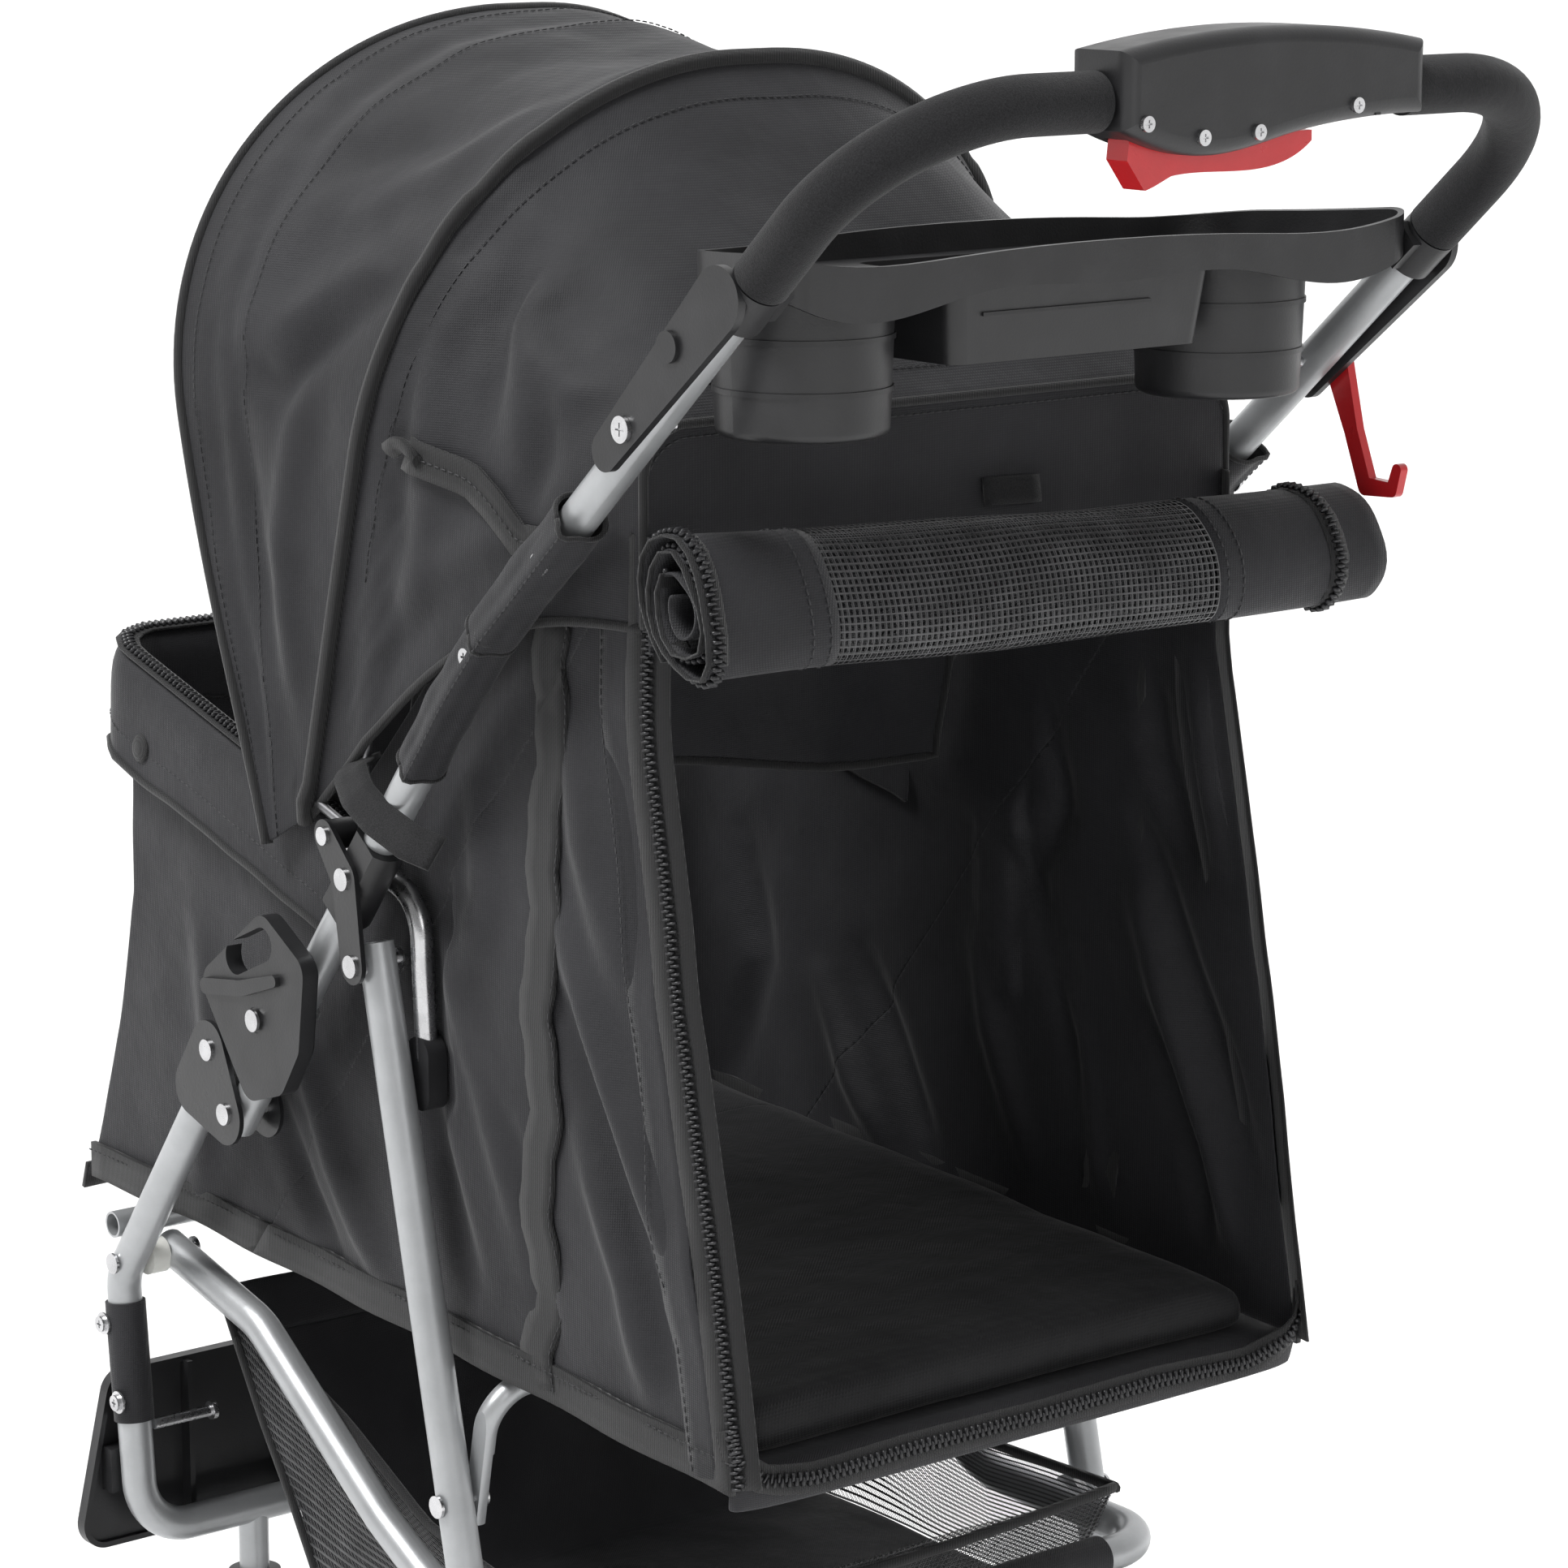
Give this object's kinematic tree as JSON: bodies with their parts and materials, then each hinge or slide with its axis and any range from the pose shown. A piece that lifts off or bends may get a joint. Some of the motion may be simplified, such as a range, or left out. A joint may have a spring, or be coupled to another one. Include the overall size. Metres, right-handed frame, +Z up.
{
  "type": "pet stroller",
  "caption": "Folding pet stroller with a zip-down rear door, mesh basket, parent tray, arched canopy, swivelling front casters and braked rear wheels.",
  "frame": {"origin": "on the floor, at the centre of the bounding box's bottom face", "axes": "+X is the stroller's own left, -Y is the way it travels and the handle is at +Y, +Z is up"},
  "size_m": [0.484, 0.7318, 1.012],
  "materials": {
    "frame_silver": "silver-grey powder coat, satin",
    "steel_bright": "plain bright steel",
    "spring_wire": "spring wire",
    "black_plastic": "fine moulded texture",
    "black_steel": "black satin paint",
    "hub_plastic": "moulded",
    "red_plastic": "semi-gloss",
    "nylon_white": "natural nylon",
    "foam_grip": "closed-cell foam",
    "tyre_foam": "foam rubber",
    "cloth_black": "woven polyester with slight sheen",
    "cloth_pad": "quilted polyester",
    "cloth_basket": "polyester and open mesh"
  },
  "bodies": {
    "handle_frame": {"handle_tube": "frame_silver", "grip_foams": "foam_grip", "housing_front": "black_plastic", "housing_rear": "black_plastic", "housing_screws": "steel_bright", "tray": "black_plastic", "handle_screws": "steel_bright", "tube_mounts": "black_plastic", "link_plates": "black_steel", "pivot_rivets": "steel_bright", "canopy_bushes": "black_plastic", "rim_tube": "steel_bright", "rim_end_clips": "black_plastic", "canopy_bow_rear": "spring_wire", "hood_fabric": "cloth_black", "cabin_header": "cloth_black", "cabin_floor": "cloth_black", "seat_pad": "cloth_pad", "cabin_side_left": "cloth_black", "cabin_side_right": "cloth_black", "cabin_front": "cloth_black", "door_roll": "cloth_black", "basket": "cloth_basket", "handle_sleeves": "cloth_black"},
    "release_trigger": {"release_trigger": "red_plastic"},
    "latch_left": {"latch_lever_left": "black_plastic"},
    "latch_right": {"latch_lever_right": "black_plastic"},
    "storage_hook": {"storage_hook": "red_plastic"},
    "canopy": {"canopy_bow_front": "spring_wire", "canopy_fabric": "cloth_black"},
    "front_frame": {"front_frame_tube": "frame_silver", "latch_brackets": "black_steel", "front_rivets": "steel_bright", "leg_sleeves": "cloth_black", "leg_screws": "steel_bright", "footplate": "black_plastic", "footplate_rods": "steel_bright", "floor_tube_front": "frame_silver"},
    "caster_left": {"caster_fork_left": "black_plastic"},
    "caster_right": {"caster_fork_right": "black_plastic"},
    "front_wheel_left": {"front_hub_left": "hub_plastic", "front_tyre_left": "tyre_foam"},
    "front_wheel_right": {"front_hub_right": "hub_plastic", "front_tyre_right": "tyre_foam"},
    "rear_frame": {"rear_legs": "frame_silver", "rear_axle": "steel_bright", "floor_tube_rear": "frame_silver", "brake_brackets": "black_plastic", "rear_rivets": "steel_bright"},
    "rear_wheel_left": {"rear_hub_left": "hub_plastic", "rear_tyre_left": "tyre_foam"},
    "rear_wheel_right": {"rear_hub_right": "hub_plastic", "rear_tyre_right": "tyre_foam"},
    "brake_left": {"brake_lever_left": "black_plastic"},
    "brake_right": {"brake_lever_right": "black_plastic"},
    "lower_frame": {"lower_rail": "frame_silver", "rail_sleeve": "cloth_black", "rail_spacers": "nylon_white"}
  },
  "joints": [
    {"name": "fold", "type": "hinge", "parent": "handle_frame", "child": "front_frame", "pos_m": [0, -0.155, 0.462], "axis": [1, 0, 0], "range_deg": [0, 96], "deforming": ["cabin_floor", "seat_pad", "cabin_side_left", "cabin_side_right", "basket"]},
    {"name": "rear_leg_fold", "type": "hinge", "parent": "handle_frame", "child": "rear_frame", "pos_m": [0, -0.038, 0.56], "axis": [1, 0, 0], "range_deg": [0, 59]},
    {"name": "lower_rail_fold", "type": "hinge", "parent": "front_frame", "child": "lower_frame", "pos_m": [0, -0.272, 0.3557], "axis": [1, 0, 0], "range_deg": [-58.2, 0]},
    {"name": "canopy_fold", "type": "hinge", "parent": "handle_frame", "child": "canopy", "pos_m": [0, -0.06, 0.62], "axis": [1, 0, 0], "range_deg": [-18, 40], "deforming": ["canopy_fabric", "hood_fabric"]},
    {"name": "trigger_slide", "type": "slide", "parent": "handle_frame", "child": "release_trigger", "axis": [0, 0, 1], "range_m": [0, 0.006], "stiffness_N_per_m": 300},
    {"name": "hook_swing", "type": "hinge", "parent": "handle_frame", "child": "storage_hook", "pos_m": [-0.217, 0.18381, 0.83998], "axis": [1, 0, 0], "range_deg": [0, 60]},
    {"name": "latch_lift_left", "type": "hinge", "parent": "handle_frame", "child": "latch_left", "pos_m": [0.219, -0.10769, 0.52148], "axis": [1, 0, 0], "range_deg": [0, 25]},
    {"name": "caster_swivel_left", "type": "hinge", "parent": "front_frame", "child": "caster_left", "pos_m": [0.1315, -0.266, 0.17], "axis": [0, 0, 1], "continuous": true},
    {"name": "front_wheel_spin_left", "type": "hinge", "parent": "caster_left", "child": "front_wheel_left", "pos_m": [0.1315, -0.236, 0.07], "axis": [1, 0, 0], "continuous": true},
    {"name": "rear_wheel_spin_left", "type": "hinge", "parent": "rear_frame", "child": "rear_wheel_left", "pos_m": [0.225, 0.074, 0.07], "axis": [1, 0, 0], "continuous": true},
    {"name": "brake_press_left", "type": "hinge", "parent": "rear_frame", "child": "brake_left", "pos_m": [0.197, 0.097, 0.082], "axis": [1, 0, 0], "range_deg": [-20, 0]},
    {"name": "latch_lift_right", "type": "hinge", "parent": "handle_frame", "child": "latch_right", "pos_m": [-0.219, -0.10769, 0.52148], "axis": [1, 0, 0], "range_deg": [0, 25]},
    {"name": "caster_swivel_right", "type": "hinge", "parent": "front_frame", "child": "caster_right", "pos_m": [-0.1315, -0.266, 0.17], "axis": [0, 0, 1], "continuous": true},
    {"name": "front_wheel_spin_right", "type": "hinge", "parent": "caster_right", "child": "front_wheel_right", "pos_m": [-0.1315, -0.236, 0.07], "axis": [1, 0, 0], "continuous": true},
    {"name": "rear_wheel_spin_right", "type": "hinge", "parent": "rear_frame", "child": "rear_wheel_right", "pos_m": [-0.225, 0.074, 0.07], "axis": [1, 0, 0], "continuous": true},
    {"name": "brake_press_right", "type": "hinge", "parent": "rear_frame", "child": "brake_right", "pos_m": [-0.197, 0.097, 0.082], "axis": [1, 0, 0], "range_deg": [-20, 0]}
  ],
  "couplings": [
    {"joint": "rear_leg_fold", "follows": "fold", "ratio": 0.612},
    {"joint": "lower_rail_fold", "follows": "fold", "ratio": -0.604}
  ]
}
